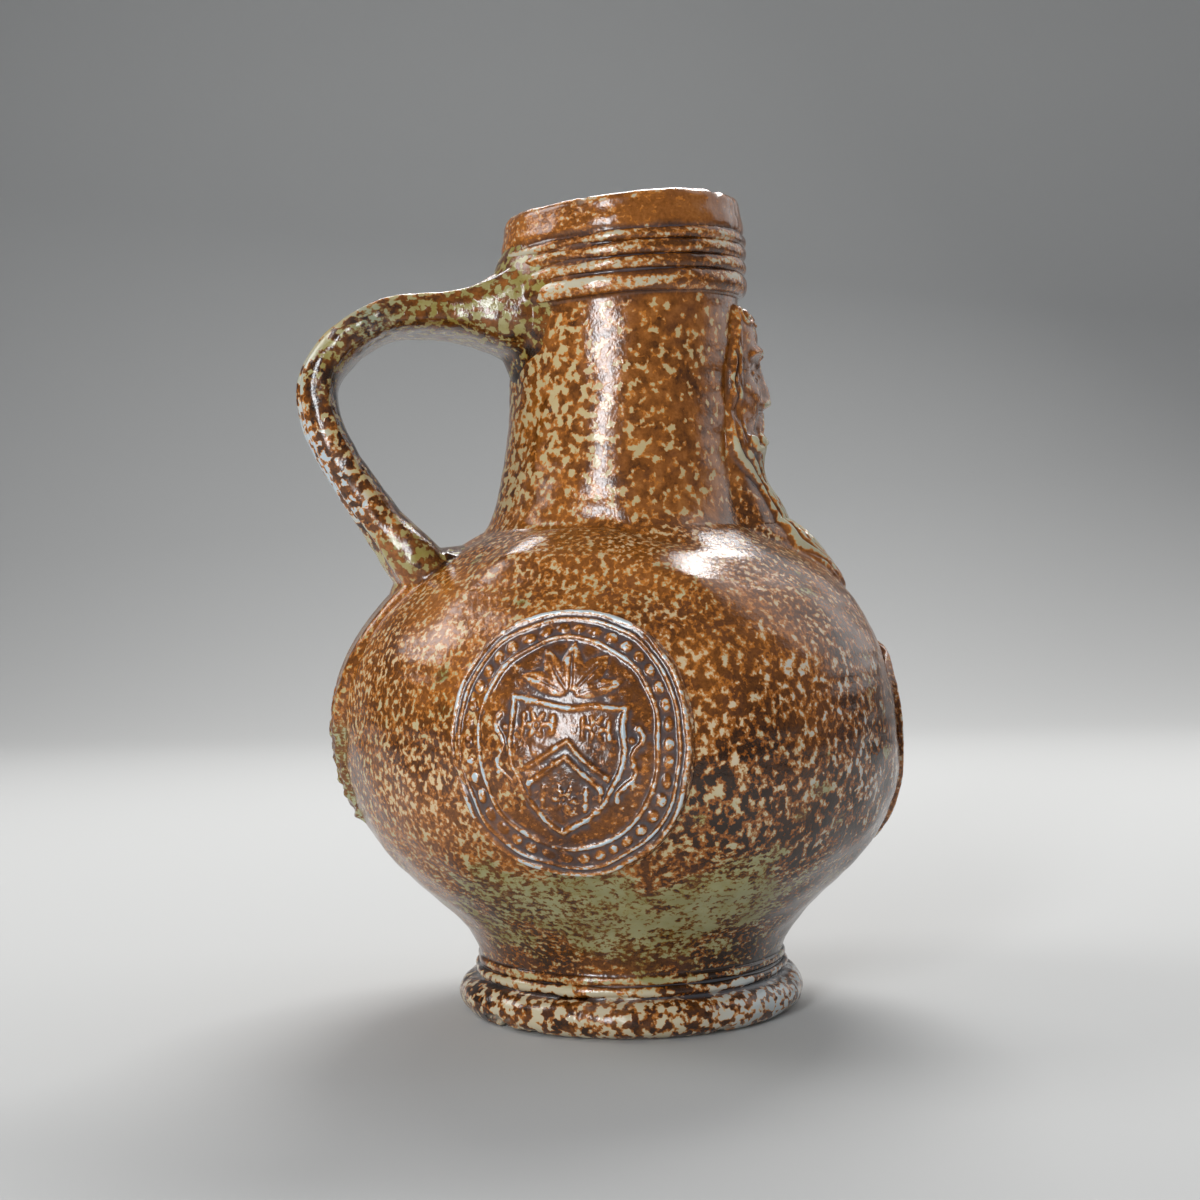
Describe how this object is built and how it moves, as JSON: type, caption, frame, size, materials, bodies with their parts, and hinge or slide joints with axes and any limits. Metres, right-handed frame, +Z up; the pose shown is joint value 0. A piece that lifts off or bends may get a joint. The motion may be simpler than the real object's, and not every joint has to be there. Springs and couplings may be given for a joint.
{
  "type": "stoneware jug",
  "caption": "Round-bellied salt-glazed stoneware jug with a narrow neck, strap handle, bearded mask and oval medallions, for pouring drink.",
  "frame": {"origin": "middle of the flat underside of the foot", "axes": "+Z up from the base to the mouth, +X towards the mask at the front, -X towards the handle"},
  "size_m": [0.1612, 0.1522, 0.2154],
  "materials": {
    "body_glaze": "brown and grey mottled salt glaze, glossy with fine orange-peel",
    "handle_glaze": "olive-cream salt glaze with brown spots and streaks, glossy",
    "mask_glaze": "amber-brown salt glaze, glossy",
    "medallion_glaze": "brown salt glaze, pale on the raised lines, glossy"
  },
  "bodies": {
    "root": {"thrown_body": "body_glaze", "handle": "handle_glaze", "face_mask": "mask_glaze", "medallion_front": "medallion_glaze", "medallion_left": "medallion_glaze", "medallion_right": "medallion_glaze"}
  },
  "joints": []
}
